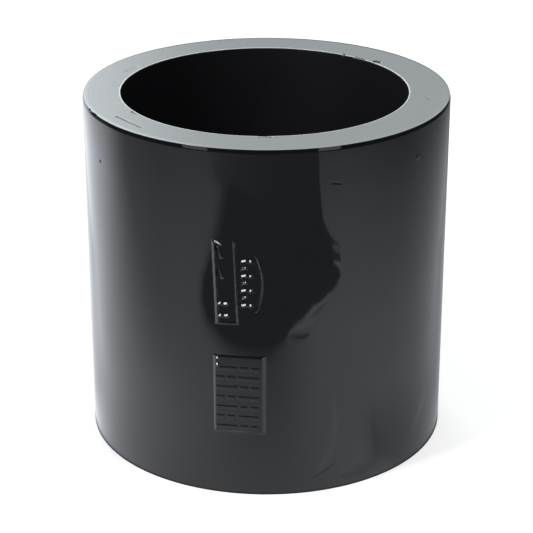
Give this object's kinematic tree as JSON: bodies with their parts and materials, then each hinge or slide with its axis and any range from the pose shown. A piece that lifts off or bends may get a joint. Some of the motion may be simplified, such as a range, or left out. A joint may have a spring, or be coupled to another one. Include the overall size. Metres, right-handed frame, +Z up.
{
  "type": "pipe coupling",
  "caption": "Straight plain-ended sleeve coupling for solvent-welded plastic pipe, with a thick wall, a socket in each end and a stop ring in the middle.",
  "frame": {"origin": "centre of the lower end face, on the sleeve's axis", "axes": "+Z up along the sleeve's axis, -Y out of the side with the moulded marks, +X to the right seen from that side"},
  "size_m": [0.0808, 0.0813, 0.079],
  "materials": {
    "black_plastic": "gloss black moulded plastic, smooth on the wall and finely turned on the end faces"
  },
  "bodies": {
    "root": {"coupling_sleeve": "black_plastic"}
  },
  "joints": []
}
